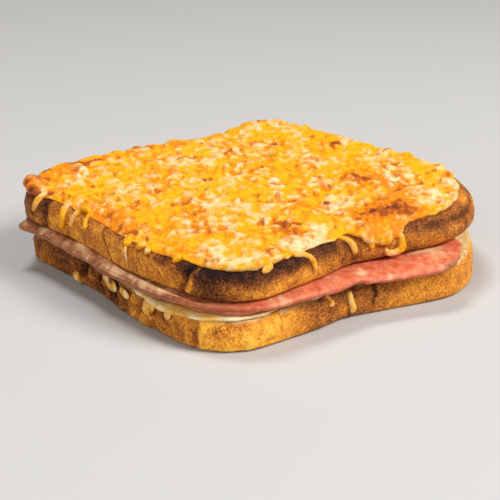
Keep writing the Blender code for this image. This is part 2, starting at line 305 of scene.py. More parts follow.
# The slices' middle lies beside the frame's origin: the difference between the two boxes of the upper slice
upperEdges = sliceEdges(upperSlice, evenStops(loaf["measuringStops"]))
widest = upperEdges["outline"] + upperEdges["normals"] * upperEdges["bulge"][:, None]
low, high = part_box("bread_slice_upper")
middleOfLoaf = np.array([(low.x + high.x) / 2 / mm - (widest[:, 0].min() + widest[:, 0].max()) / 2,
                         (low.y + high.y) / 2 / mm - (widest[:, 1].min() + widest[:, 1].max()) / 2, 0.0])


def makePiece(name, vertices, faces, material, marks, slot, *nodes):
    # Millimetres from the slices' middle become metres in the frame. Marks are named values, one for each vertex,
    # or a grid of them, whose two poles get the mean of the ring beside them.
    mesh = bpy.data.meshes.new(name)
    mesh.from_pydata((np.asarray(vertices) + middleOfLoaf) * mm, [], faces)
    mesh.shade_smooth()
    mesh.materials.append(material)
    for mark, values in marks.items():
        if values.ndim == 2:
            values = np.concatenate([values.reshape(-1), [values[0].mean(), values[-1].mean()]])
        mesh.attributes.new(mark, "FLOAT", "POINT").data.foreach_set("value", values.astype(np.float32))
    piece = bpy.data.objects.new(name, mesh)
    scene.collection.objects.link(piece)
    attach(piece, "root")
    if nodes:
        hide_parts(*nodes)
    print(f"{name}: {len(vertices)} vertices, {len(faces)} faces")


def setInputs(tree, node, inputs):
    # Each input takes a value, or a link where it is given the output of another node
    for place, value in inputs.items():
        if isinstance(value, bpy.types.NodeSocket):
            tree.links.new(value, node.inputs[place])
        else:
            node.inputs[place].default_value = value


def addNode(tree, kind, inputs, output=0, stops=(), **settings):
    # One node with its settings, its inputs and the stops of its colour ramp. It gives back one of its outputs.
    node = tree.nodes.new("ShaderNode" + kind)
    for name, setting in settings.items():
        setattr(node, name, setting)
    setInputs(tree, node, inputs)
    for number, (position, hexCode) in enumerate(stops):
        stop = node.color_ramp.elements[number] if number < 2 else node.color_ramp.elements.new(position)
        stop.position = position
        stop.color = linearColour(hexCode)
    return node.outputs[output]


def newMaterial(name, sockets, *marks):
    # Constant values go straight on the main shader's own sockets, and each mark is read from its piece
    material = bpy.data.materials.new(name)
    material.use_nodes = True
    tree = material.node_tree
    shader = tree.nodes["Principled BSDF"]
    setInputs(tree, shader, sockets)
    place = addNode(tree, "TexCoord", {}, "Object")
    return (material, tree, shader, place,
            *(addNode(tree, "Attribute", {}, "Fac", attribute_name=mark) for mark in marks))


# Bread crust, baked in a tin and then toasted in butter: a dry, fine-grained skin that goes from gold to nearly
# black, with dark freckles, and with a faint shine where the butter was. Its tone also holds painted shade: darker
# in creases, in the hollows of tears and under the layer above
crustLook = {
    "sockets": {"Roughness": 0.6, "IOR": 1.4, "Specular IOR Level": 0.18, "Subsurface Weight": 0.05,
                "Subsurface Radius": (1.0, 0.45, 0.2), "Subsurface Scale": 1.5 * mm},
    "tones": [(0, "#FFC850"), (.16, "#FCAC36"), (.36, "#D0802E"), (.56, "#965622"), (.76, "#623214"), (1, "#20100A")],
    "crumb": [(0.35, "#D9A04C"), (0.62, "#F6DFA6")],
    "freckle": {"Scale": 1 / (1.6 * mm), "Detail": 4, "Roughness": 0.65},  # mottling, 1.6 mm wide
    # the skin's fine pores, drawn a little coarser than the real 0.4 mm so that they show
    "grain": {"Scale": 1 / (0.65 * mm), "Detail": 3, "Roughness": 0.6},
    # streaks that the tin left up and down the crust, leaning 35 degrees and 7 times longer than wide
    "streak": {"Scale": 1 / (0.55 * mm), "Detail": 2},
    "streakWay": {"Rotation": (np.radians(-35), 0, 0), "Scale": (1, 1, 7)},
    "darkening": (0.28, 0.95),  # strength of the freckles, and of the grain
    "streaky": (0.15, 0.4),  # strength of the streaks everywhere, and how much more on the left
    "relief": {"Strength": 0.8, "Distance": 0.5 * mm},
    # strength, size in mm and seed of the fields that both slices share
    "lumps": [(.22, 12, 5), (.07, 3.5, 6), (.04, 1.4, 7)],
    "torn": [(.9, 4.5, 8)], "frayed": [(.35, 2.2, 9)],  # raggedness: torn is folded, so that it only cuts in
    "toasting": [(.06, 7, 3), (.055, 2.5, 4)],
    "toastLine": [(.06, 5, 2)],  # moves the height where the head's tone starts
    "faceToasting": [(.09, 18, 11), (.06, 7, 12)],
    "crumbLine": [(.08, 2, 10)],
    "tearShade": (0.13, 0.4),  # painted shade in a tear's hollow: how much a tear darkens the crust, and from which depth
    "wobble": (0.35, 1.3),  # of a crease, in mm, and radians for each mm up
    "flat": (0.88, 0.99),  # share of a flat face's size where the crust's relief starts and is full
    "levelRelief": 0.25,  # share of the relief that lies on the flat faces
    "undersideCrumb": 0.35,  # it is toasted too
    "inner": (0.05, 0.97, 17),  # rings of a flat face: from which share of its size to which, and how many
    "edgeRings": 8, "sideRings": 22,
}


def makeCrust():
    # tone = the toast mark (toasting, with painted shade in creases, tears and under the layer above), plus each
    # pattern's strength times (pattern - 0.5); a ramp turns it to colour
    look = crustLook
    material, tree, shader, place, toast, crumb, streaky = newMaterial(
        "toastedTinLoafCrust", look["sockets"], "toast", "crumb", "streaky")
    upward = addNode(tree, "Mapping", {"Vector": place, **look["streakWay"]}, vector_type="TEXTURE")
    freckle, grain, streak = (addNode(tree, "TexNoise", {"Vector": source, **look[pattern]})
                              for pattern, source in (("freckle", place), ("grain", place), ("streak", upward)))
    tone = toast
    for pattern, strength in zip((freckle, grain, streak), (*look["darkening"], streaky)):
        centred = addNode(tree, "Math", {0: pattern, 1: 0.5}, operation="SUBTRACT")
        tone = addNode(tree, "Math", {0: centred, 1: strength, 2: tone}, operation="MULTIPLY_ADD")
    crust = addNode(tree, "ValToRGB", {"Fac": tone}, stops=look["tones"])
    inside = addNode(tree, "ValToRGB", {"Fac": freckle}, stops=look["crumb"])
    colour = addNode(tree, "Mix", {"Factor": crumb, 6: crust, 7: inside}, 2, data_type="RGBA")
    height = addNode(tree, "Math", {0: freckle, 1: 0.6, 2: grain}, operation="MULTIPLY_ADD")
    relief = addNode(tree, "Bump", {"Height": height, **look["relief"]})
    setInputs(tree, shader, {"Base Color": colour, "Normal": relief})
    return material


def makeSlice(name, look, material, node):
    # Rings from the middle of the underside, round the foot's edge, up the side, round the top edge, to the middle
    # of the top. The edges are quarter circles, and the side swells as bellyOut says. The relief, lumps less
    # raggedness and creases, is then added along the surface's normals, and fades out on the two cut faces.
    edges = sliceEdges(look, evenStops(loaf["stops"]))
    outline, low, high, direction = (edges[key] for key in ("outline", "low", "high", "direction"))
    foot, top = loaf["footEdge"], loaf["topEdge"]
    quarter = np.linspace(0.0, np.pi / 2, crustLook["edgeRings"])
    inner = np.linspace(*crustLook["inner"])
    sideShares = np.linspace(0, 1, crustLook["sideRings"] + 2)[1:-1]
    heights = ([low + foot * (1 - np.cos(turn)) for turn in quarter]
               + [low + foot + share * (high - low - foot - top) for share in sideShares]
               + [high - top * (1 - np.cos(turn)) for turn in quarter[::-1]])
    insets = ([foot * (1 - np.sin(turn)) for turn in quarter] + [0.0] * len(sideShares)
              + [top * (1 - np.sin(turn)) for turn in quarter[::-1]])
    rings = [innerRing(outline - edges["normals"] * foot, share, look["foot"]) for share in inner]
    rings += [outerRing(edges, bellyOut(edges, height) - inset, height) for height, inset in zip(heights, insets)]
    rings += [innerRing(outline - edges["normals"] * top, share, look["head"]) for share in inner[::-1]]
    grid = np.array(rings)

    surface = gridNormals(grid)
    level = np.abs(surface[..., 2])
    upright = np.clip((grid[..., 2] - low) / (high - low), 0, 1)
    rough = eased(look["rough"], direction)[0]
    footTone, headTone, start = eased(look["toast"], direction)
    toast = footTone + (headTone - footTone) * smooth(start, 1.0, upright + fields(grid, crustLook["toastLine"]))
    ragged = np.abs(fields(grid * (1, 1, 1.4), crustLook["torn"])) + fields(grid, crustLook["frayed"])
    # Painted shade in the hollows of the tears: deeper cuts make the tone darker
    paintedShade, depth = crustLook["tearShade"]
    toast += fields(grid, crustLook["toasting"]) + rough * paintedShade * (ragged - depth)
    cut = rough * ragged
    walked = np.concatenate([[0.0], np.cumsum(np.hypot(*(np.roll(outline, -1, axis=0) - outline).T))])[:-1]
    wobble, turning = crustLook["wobble"]
    # Each crease is cut in and its tone darkened: the darkening is painted shade in the crease
    for station, height, slant, reach, tall, depth, paintedShade in look["creases"]:
        at = walked[np.argmin(np.abs(direction - station))]
        away = walked - at - slant * (grid[..., 2] - height) + wobble * np.sin(grid[..., 2] * turning + station)
        crease = bump(away, reach) * bump(grid[..., 2] - height, tall)
        cut += depth * crease
        toast += paintedShade * crease
    cutFace = 1 - smooth(*crustLook["flat"], np.concatenate([inner, np.ones(len(heights)), inner[::-1]]))[:, None]
    toast += (look["cutFace"] + fields(grid, crustLook["faceToasting"]) - toast) * cutFace
    least = crustLook["levelRelief"]
    relief = fields(grid, crustLook["lumps"]) - cut * (1 - cutFace)
    grid += surface * (relief * (least + (1 - least) * smooth(0.25, 0.8, 1 - level)))[..., None]
    grid[..., 2] = np.maximum(grid[..., 2], 0.0)  # it stands flat on the floor

    crumb = 1 - smooth(0.08, 0.35, 1 - level + fields(grid, crustLook["crumbLine"]))
    crumb *= np.where(grid[..., 2] > (low + high) / 2, look["crumb"], crustLook["undersideCrumb"])
    least, more = crustLook["streaky"]
    streaky = smooth(0.2, 0.9, -surface[..., 0]) * more + least
    makePiece(name, *closedSurface(grid), material, {"toast": toast, "crumb": crumb, "streaky": streaky},
              "toasted_crust", node)


crustMaterial = makeCrust()
makeSlice("lowerSlice", lowerSlice, crustMaterial, "bread_slice_lower")
makeSlice("upperSlice", upperSlice, crustMaterial, "bread_slice_upper")

# Grated cheese, melted and browned under the grill: fat and milk protein, so light goes into it and it shines.
# It is cream where a shred kept its shape, deep yellow where it ran, orange where oil stands on it, and brown where
# a blister was nearest the grill.
# Orange and brown in the dips between shreds are partly painted shade.
cheeseLook = {
    "sockets": {"IOR": 1.4, "Specular IOR Level": 0.2, "Coat Weight": 0.22, "Coat Roughness": 0.12,
                "Subsurface Weight": 0.1, "Subsurface Radius": (1.0, 0.55, 0.2), "Subsurface Scale": 1.0 * mm},
    "yellow": "#F9AC00",
    # colours laid over the yellow: the mark that shares each out, the noise that breaks it up, how much that noise
    # counts, and where the colour starts and is full
    "tints": [("#F6C686", "cream", "mottle", 2.7, 0.12, 0.92), ("#EC8600", "oily", "fine", 2.6, 0.2, 1.2),
              ("#FBD5A0", "cream", "fine", 3.0, 0.75, 1.3),  # small pale specks: painted glints, on bubbles of fat that stayed pale
              ("#B0540E", "browned", "fine", 1.7, 0.34, 1.06), ("#6E300E", "browned", "mottle", 2.0, 1.0, 1.8)],
    "mottle": {"Scale": 1 / (2.6 * mm), "Detail": 5, "Roughness": 0.7},  # 2.6 mm, as wide as a melted shred
    "fine": {"Scale": 1 / (1.1 * mm), "Detail": 4, "Roughness": 0.65},  # 1.1 mm, beads of fat and small blisters
    "gloss": {"From Min": 0.3, "From Max": 0.7, "To Min": 0.5, "To Max": 0.32},  # roughness, by the fine noise
    "relief": {"Strength": 1, "Distance": 0.9 * mm},
    "strewn": (47.5, 1.9),  # the way that shreds were strewn, in degrees, and how much longer marks are that way
    "cells": 280,  # across the top
    "skirtRings": 12,  # from the top down over the crust
    "inside": 0.6,  # mm inside the crust's edge, where the skirt starts
    # kinds of shred: how many, then the range of length, half width and thickness
    "shreds": [(700, (2.5, 8), (.5, .9), (.4, .8)), (700, (.3, 2), (.7, 1.3), (.5, 1.1)),
               (500, (.3, 3), (1.4, 2.6), (.5, 1.1))],
    "raster": (-66.0, 0.25, 529),  # where the raster of shreds starts, its step in mm and its count
    # rounds of melting for the shreds' height, for their tone, for the height at the rim, and to find the dips
    "melted": (5, 12, 6, 40),
    "base": 0.6,  # thickness under the shreds
    "thinRim": 4.5,  # mm from the border, where the top starts to thin out
    # strength, size in mm and seed of the fields of its rim and of its top
    "rimWaves": [(.3, 4.5, 21), (.2, 1.6, 22)],
    "topWaves": [(.25, 14, 23), (.22, 3, 24)],
    "bubbles": [(.75, 1.5, 25)],
    # round the rim: direction, how far the cheese runs over the edge of the slice in mm along the crust, how much
    # thicker it is there, which share of its own thickness it keeps, and how much darker and more orange its top is
    # at the rim
    "rim": [
        (0, 2, 0, 1, .1), (30, 1.6, 0, 1, .1), (60, 2.2, 0, 1, .1), (90, 1.8, 0, 1, .3), (122, 1.8, .2, 1, .4),
        (132, 2, .3, 1, .4), (140, 2.2, .5, 1, .4), (145, 1.2, 0, .6, .5), (150, .6, 0, .3, .5),
        (160, .6, 0, .25, .4), (180, .6, 0, .25, .45), (192, .8, .1, .4, .3), (200, .9, .1, .5, .2),
        (210, .8, .1, .6, .1), (217, 1, .4, .8, 0), (224, 1.3, .8, 1, 0), (231, 1.2, .7, 1, 0), (237, .8, .2, .8, 0),
        (243, .5, 0, .5, .1), (249, .5, 0, .5, .2), (254, 1.2, .1, .8, 0), (259, .8, .1, .8, .2),
        (263, 2.4, .2, 1, .1), (267, 5.4, .3, 1, 0), (272, 6, .4, 1, 0), (277, 4.6, .3, 1, 0), (280, 2, .1, 1, .1),
        (286, 1, .3, .9, .1), (292, .8, .3, .8, .1), (305, .9, .2, .8, 0), (315, .9, .3, .9, 0),
        (325, 1.2, .1, 1, .1), (340, 1.8, 0, 1, .1),
    ],
    # place, reach and height of lumps
    "lumps": [
        (-54, 47.5, 3.2, 1.4), (-48.5, 47.5, 1.8, 1.1), (-53.5, 41, 3, .8), (-40, 55, 5, .5), (42, 50, 8, .8),
        (33, 54, 3, .8), (-32, 55, 4.5, .8), (-46.5, 54, 3, -.4), (-51, 50.5, 1.5, 1.4), (-46.5, 50.5, 1.3, 1),
        (-56, 44, 1.3, 1), (-50, 45, 1.2, .7), (50, -22, 4, .9), (50.5, -30, 2.5, .9), (46, -36, 2.2, .7),
        (-24, -51.5, 3.5, .7), (-30, -48, 3, .6), (55, -6, 2.2, .9), (55, -14, 2, .9), (53.5, -31, 1.8, 1.2),
        (51.5, -37.5, 1.7, 1.3), (48, -43.5, 1.6, 1.4), (42.5, -47.5, 1.5, 1.1), (36.5, -52, 1.5, 1.1),
        (30.5, -55, 1.4, .9),
    ],
    # place, reach and strength of browned spots
    "browned": [
        (-3.6, -21.8, 1.7, .9), (14.5, -19.9, 1.1, .8), (26, -21, 2.2, .8), (22, -24, 1.5, .6),
        (27.4, -37.4, 1.7, .8), (-10.9, -15.1, 1.2, .7), (3.4, -43, 1, 1), (7.4, -45.2, .9, 1.2),
        (11.6, -46.4, 1, 1.2), (15, -45.6, .9, 1.1), (-17, -36.9, 2.6, .7), (-20.5, -34, 1.4, .7),
        (4.9, -46, 2.4, .8), (9.5, -48.2, 2.2, .8), (8, -51.2, 1.6, .6), (16.2, -48.2, 2.6, .85),
        (13.4, -53.4, 1.8, 1.1), (20.2, -43.2, 2.2, .85), (11.2, -41.8, 1.8, .5), (18.4, -52, 1.8, .6),
        (37, -38, 1.1, .8), (-48.5, 47.5, 1.6, 1), (-24.8, -21, 1.8, .6), (-8.9, 10.9, 1.3, .8),
        (5.4, 30.4, 1.8, .7), (-9.5, 39.3, 1.2, .7), (-19.6, 41.8, 1.7, .5), (-42.8, 7.4, 1.3, .8),
        (-39.8, 21.1, 1.6, .6), (-50.4, 8.9, 2, .7), (-56, -7, 1.2, .6), (12.1, 7.4, 1.4, .7), (22.5, 15.2, 1.6, .8),
        (14.9, 36.8, 1.5, .7), (33.7, 23.3, 1.7, .6), (-30.1, -9, 1.6, .6), (2, -30, 1.2, .6),
        (-1.5, -47.5, 1.6, .5), (-52, 36, 2, .5), (47, 10, 1.5, .7), (-49, 52.5, 1.2, 1.2), (-53.5, 47, 1.2, .9),
        (-47, 48, 1.2, 1.1), (-55.5, 41.5, 1.5, 1), (-28, 53, 1.4, 1), (-4, 54.5, 1.2, .9), (-38, 33, 1.3, .8),
        (-27, 14, 1.4, .7), (3, -8, 1.3, .8), (30, 2, 1.4, .8), (-12, 24, 1.2, .8), (27, 40, 1.3, .7),
        (-35, -25, 1.4, .7), (44, -13, 1.5, .5), (-36, 48, 1.6, .6),
    ],
    # place, reach and strength of pale patches
    "pale": [
        (-25, -49, 5, .9), (29, -50, 6, .9), (5, -34, 5, .6), (-51, -46, 4.5, .8), (-44, -50, 4, .6),
        (-28, -28, 6, .4), (38, -42, 5, .7), (-20, 5, 7, .4), (10, 30, 8, .3), (52.5, -34, 3, .8),
        (47.5, -44, 3, .9), (36.5, -52, 3, .8),
    ],
    # place, reach and strength of oily orange patches
    "oily": [(8, -46, 7, .9), (16, -50, 5, .8), (24, -26, 7, .5), (-53, 45, 5, .9), (-53, 20, 7, .5),
             (-54, -5, 6, .4), (33, -30, 5, .5), (0, -52, 4, .6)],
    # strength, size and seed of the fields of each mark
    "creamWaves": [(.40, 6, 31), (.2, 2, 32)],
    "oilyWaves": [(.36, 7, 33), (.3, 1.8, 34)],
    "scorchWaves": [(.65, 1.9, 35), (.5, 6, 36)],
}


def spreadShreds():
    # Shreds laid one after another on a raster of the plan. Each is a bent stroke with a round back,
    # thick * sqrt(1 - (distance / half width)^2), and it rises over what it crosses. Its tone goes with it.
    dice = np.random.default_rng(11)
    low, step, count = cheeseLook["raster"]
    height, tone = np.zeros((count, count)), np.full((count, count), 0.35)
    kinds = np.repeat(np.arange(len(cheeseLook["shreds"])), [kind[0] for kind in cheeseLook["shreds"]])
    for kind in dice.permutation(kinds):
        x, y = dice.uniform(-58, 58, 2)
        length, half, thick = (dice.uniform(*limits) for limits in cheeseLook["shreds"][kind][1:])
        heading, bend = dice.uniform(0, 2 * np.pi), dice.normal(0, 0.9)
        turning = heading + bend * np.linspace(-0.5, 0.5, 9)
        lineX = x + np.cumsum(np.cos(turning)) * length / 9 - np.cos(heading) * length / 2
        lineY = y + np.cumsum(np.sin(turning)) * length / 9 - np.sin(heading) * length / 2
        first = np.clip(((np.array([lineX.min(), lineY.min()]) - 1.5 - low) / step).astype(int), 0, count - 2)
        last = np.array([lineX.max(), lineY.max()]) + 1.5
        last = np.clip(((last - low) / step).astype(int), first + 1, count - 1)
        cellX, cellY = np.meshgrid(*(low + step * np.arange(first[axis], last[axis]) for axis in (0, 1)))
        fromX, fromY = np.diff(lineX)[:, None, None], np.diff(lineY)[:, None, None]
        offX, offY = cellX - lineX[:-1, None, None], cellY - lineY[:-1, None, None]
        share = np.clip((offX * fromX + offY * fromY) / (fromX ** 2 + fromY ** 2), 0, 1)
        away = np.sqrt(((offX - share * fromX) ** 2 + (offY - share * fromY) ** 2).min(axis=0))
        back = thick * np.sqrt(np.clip(1 - (away / half) ** 2, 0, 1))
        window = (slice(first[1], last[1]), slice(first[0], last[0]))
        raised = np.where(away < half, 0.35 * height[window] + back, 0.0)
        onTop = raised > height[window]
        height[window] = np.where(onTop, raised, height[window])
        tone[window] = np.where(onTop, dice.beta(0.9, 0.9), tone[window])
    return height, tone


def melt(raster, rounds):
    # Each cell becomes the mean of itself and its four neighbours, again and again
    for _ in range(rounds):
        raster = (raster + np.roll(raster, 1, 0) + np.roll(raster, -1, 0) + np.roll(raster, 1, 1)
                  + np.roll(raster, -1, 1)) / 5
    return raster


def sample(raster, x, y):
    # Between the four cells round a place, in proportion to how near they are
    low, step, count = cheeseLook["raster"]
    placeX, placeY = (x - low) / step, (y - low) / step
    left, below = np.clip(placeX.astype(int), 0, count - 2), np.clip(placeY.astype(int), 0, count - 2)
    shareX, shareY = placeX - left, placeY - below
    lower = raster[below, left] * (1 - shareX) + raster[below, left + 1] * shareX
    upper = raster[below + 1, left] * (1 - shareX) + raster[below + 1, left + 1] * shareX
    return lower * (1 - shareY) + upper * shareY


def makeCheeseMaterial():
    # Each tint goes over the last by a share: smooth of mark + amount (noise - 0.5), from its start to its full
    look, marks = cheeseLook, ("cream", "oily", "browned")
    material, tree, shader, place, *readMarks = newMaterial("meltedGratedCheese", look["sockets"], *marks)
    heading, longer = look["strewn"]
    strewn = addNode(tree, "Mapping", {"Vector": place, "Rotation": (0, 0, np.radians(heading)),
                                       "Scale": (longer, 1, 1)}, vector_type="TEXTURE")
    source = dict(zip(marks, readMarks))
    for noise in ("mottle", "fine"):
        source[noise] = addNode(tree, "TexNoise", {"Vector": strewn, **look[noise]})
    colour = linearColour(look["yellow"])
    for hexCode, mark, noise, amount, low, high in look["tints"]:
        moved = addNode(tree, "Math", {0: source[noise], 1: amount, 2: source[mark]}, operation="MULTIPLY_ADD")
        share = addNode(tree, "MapRange", {"Value": moved, "From Min": low + amount / 2,
                                           "From Max": high + amount / 2}, interpolation_type="SMOOTHSTEP")
        colour = addNode(tree, "Mix", {"Factor": share, 6: colour, 7: linearColour(hexCode)}, 2, data_type="RGBA")
    gloss = addNode(tree, "MapRange", {"Value": source["fine"], **look["gloss"]})
    height = addNode(tree, "Math", {0: source["fine"], 1: 0.6, 2: source["mottle"]}, operation="MULTIPLY_ADD")
    relief = addNode(tree, "Bump", {"Height": height, **look["relief"]})
    setInputs(tree, shader, {"Base Color": colour, "Roughness": gloss, "Normal": relief, "Coat Normal": relief})
    return material


def overCrust(edges, run, stand):
    # A place on the crust, run millimetres from where the top starts to round over: first round a quarter circle of
    # the top edge's radius, then straight down. Stand is how far it lies out from there, square to the crust.
    radius = loaf["topEdge"]
    turn = np.clip(run / radius, 0.0, np.pi / 2)
    heights = edges["high"] - radius * (1 - np.cos(turn)) - np.maximum(run - radius * np.pi / 2, 0.0)
    out = bellyOut(edges, heights) - radius * (1 - np.sin(turn)) + np.minimum(run, 0.0) + stand * np.sin(turn)
    return outerRing(edges, out, heights + stand * np.cos(turn))


def makeCheese(material):
    # The top is a patch stretched between the four sides, lifted by its own height. A skirt of rings goes on from
    # its border down over the crust, thinner towards its end as sqrt(1 - share^4), and turns in under itself.
    look, cells, rows, inside = (cheeseLook, *(cheeseLook[key] for key in ("cells", "skirtRings", "inside")))
    height, tone = (melt(raster, rounds) for raster, rounds in zip(spreadShreds(), look["melted"]))
    softened, level = (melt(height, rounds) for rounds in look["melted"][2:])
    edges = sliceEdges(upperSlice, cornerStops(cells))
    run, thicker, keep = eased(look["rim"], edges["direction"])[:3]
    flatRim = np.column_stack([edges["outline"], 0 * run])
    run = run + fields(flatRim, look["rimWaves"]) * smooth(0.3, 1.0, run)

    def topHeight(x, y):
        # Base, shreds, lumps and waves, and bubbles where the hot oil boiled
        flat = np.stack([x, y, 0 * x], axis=-1)
        bubbles = np.abs(fields(flat, look["bubbles"])) * np.clip(spots(look["oily"], x, y), 0, 1)
        return (look["base"] + sample(height, x, y) + spots(look["lumps"], x, y)
                + fields(flat, look["topWaves"]) + bubbles)

    # The patch: the two ways of going straight across, added up, less the one that the four corners alone give
    start = overCrust(edges, np.full(4 * cells, -inside), 0.0)[:, :2]
    back, left, front, right = (np.vstack([start, start[:1]])[k:k + cells + 1] for k in range(0, 4 * cells, cells))
    back, left = back[::-1], left[::-1]
    across, deep = (axis[..., None] for axis in np.meshgrid(*[np.linspace(0, 1, cells + 1)] * 2))
    plan = (1 - deep) * front + deep * back + (1 - across) * left[:, None] + across * right[:, None]
    plan = (plan - (1 - across) * (1 - deep) * front[0] - across * (1 - deep) * front[-1]
            - (1 - across) * deep * back[0] - across * deep * back[-1])
    x, y = plan[..., 0], plan[..., 1]
    steps = np.arange(cells + 1)
    inward = np.minimum(steps, cells - steps) * 2 * loaf["halfWidth"] / cells
    nearRim = 1 - smooth(0.0, look["thinRim"], np.minimum(inward[:, None], inward))
    keepTop = 1 - (1 - eased(look["rim"], directionOf(x, y))[2]) * nearRim
    top = np.stack([x, y, upperTop(x, y) + topHeight(x, y) * keepTop], axis=-1).reshape(-1, 3)

    # Its border in the order of the outline, from the corner at the back right, counterclockwise
    numbers = np.arange((cells + 1) ** 2).reshape(cells + 1, cells + 1)
    border = np.concatenate([numbers[-1, :0:-1], numbers[:0:-1, 0], numbers[0, :-1], numbers[:-1, -1]])
    skirt = []
    for row in range(1, rows + 1):
        at = -inside + (run + inside) * row / rows
        ground = overCrust(edges, at, 0.0)[:, :2].T
        softer = sample(softened, *ground) - sample(height, *ground)
        own = topHeight(*ground) + smooth(0, 0.5, row / rows) * softer
        thick = (own * keep + thicker * smooth(0, 0.6, row / rows)) * np.sqrt(1 - (row / (rows + 0.6)) ** 4)
        skirt.append(overCrust(edges, at, thick))
    for share, depth in ((1.0, 0.1), (0.6, -0.1), (0.0, -0.1)):
        skirt.append(overCrust(edges, -inside + (run + inside) * share, np.full(4 * cells, depth)))
    skirt += [innerRing(start, share, upperTop, -0.1) for share in (0.8, 0.4)]
    rings = [border] + [len(top) + k * 4 * cells + np.arange(4 * cells) for k in range(len(skirt))]
    vertices = np.concatenate([top] + skirt + [skirt[-1].mean(axis=0, keepdims=True)])
    quads = np.stack([numbers[:-1, :-1], numbers[:-1, 1:], numbers[1:, 1:], numbers[1:, :-1]], axis=-1)
    sides = np.concatenate([ringFaces(rings[k + 1], rings[k]) for k in range(len(rings) - 1)])
    fan = np.stack([rings[-1], np.full(4 * cells, len(vertices) - 1), np.roll(rings[-1], -1)], axis=1)

    # The marks: cream on shreds, oil and brown in dips, round browned spots and at the rim, all drawn out one way.
    # The oil and brown in the dips, and less cream there, are partly painted shade, which leaves the crests paler
    x, y = vertices[:, 0], vertices[:, 1]
    heading, longer = np.radians(look["strewn"][0]), look["strewn"][1]
    way = np.array([np.cos(heading), np.sin(heading), 0.0])
    drawn = vertices - (1 - 1 / longer) * (vertices @ way)[:, None] * way
    dipShade = sample(level, x, y) - sample(height, x, y)  # above 0 between shreds, where it paints shade
    fromRim = np.abs(x / loaf["halfWidth"]) ** 12 + np.abs(y / loaf["halfDepth"]) ** 12  # about 1 at the rim
    # Darker and more orange towards the rim, by direction
    rimDarkening = eased(look["rim"], directionOf(x, y))[3] * smooth(0.35, 1.1, fromRim)
    scorchedAndShaded = fields(drawn, look["scorchWaves"]) + 0.5 * dipShade
    halos = [(spotX, spotY, 2.2 * reach, strength) for spotX, spotY, reach, strength in look["browned"]]
    cream = (0.26 + fields(drawn, look["creamWaves"]) + 0.85 * (sample(tone, x, y) - 0.5)
             + 0.7 * spots(look["pale"], x, y) - 0.9 * dipShade - 0.7 * rimDarkening)
    oily = (0.14 + fields(drawn, look["oilyWaves"]) + 0.7 * spots(look["oily"], x, y)
            + 0.45 * spots(halos, x, y) + 0.5 * smooth(0.0, 0.8, scorchedAndShaded) + 1.3 * dipShade + 0.8 * rimDarkening)
    browned = 0.72 * smooth(0.34, 1.05, scorchedAndShaded) + 1.15 * spots(look["browned"], x, y) + 0.7 * rimDarkening
    faces = quads.reshape(-1, 4).tolist() + sides.tolist() + fan.tolist()
    makePiece("gratinCheese", vertices, faces, material, {"cream": cream, "oily": oily, "browned": browned},
              "melted_cheese", "gratin_cheese")


cheeseMaterial = makeCheeseMaterial()
makeCheese(cheeseMaterial)

# Filling: place is growth, turn and shift, and waves are strength, size and seed of the fields of its rim. Each rim
# has direction, reach past the crust, drop at the rim and, on the upper ham, how far it curls up.
filling = {"place": (1.0, -2.4, (0.9, -1.1)), "waves": [(.5, 6, 0), (.25, 2.2, 1)],
           "dropWave": (.6, 7, 2), "thickWaves": [(.12, 9, 3)], "rimRings": 14, "endRings": 7}

# Bechamel with cheese in it: thick, cream coloured and satin, with toasted freckles where it dried
sauceLook = {
    "sockets": {"Roughness": 0.45, "IOR": 1.4, "Specular IOR Level": 0.25, "Subsurface Weight": 0.12,
                "Subsurface Radius": (1.0, 0.6, 0.3), "Subsurface Scale": 1.5 * mm},
    "tones": [(0.3, "#F7E2B0"), (0.55, "#F1C470"), (0.8, "#EBA232"), (1.0, "#8A4818")],
    "mottle": {"Scale": 1 / (1.5 * mm), "Detail": 4},  # freckles of 1.5 mm
    "relief": {"Strength": 0.4, "Distance": 0.4 * mm},
    "waviness": 0.8,  # of its rim
    "bumps": [(.2, 4, 4), (.1, 1.8, 5)],
    "rim": [
        (0, -4, 0), (22, -1.8, 0), (55, -3.2, 0), (90, -.6, 0), (112, -2.4, 0), (130, -4, 0), (165, -2, 0),
        (178, -.4, .1), (184, .6, .3), (191, 0, .2), (198, 1.8, .9), (206, 2.6, 1.4), (213, 2, 1.1), (219, 1.2, .6),
        (228, .4, .25), (235, -.6, 0), (241, -1, 0), (246, .8, .2), (256, 1.4, .3), (262, -1.5, 0), (296, -3, 0),
        (310, -10, 0), (322, -13, 0), (340, -10, 0),
    ],
}

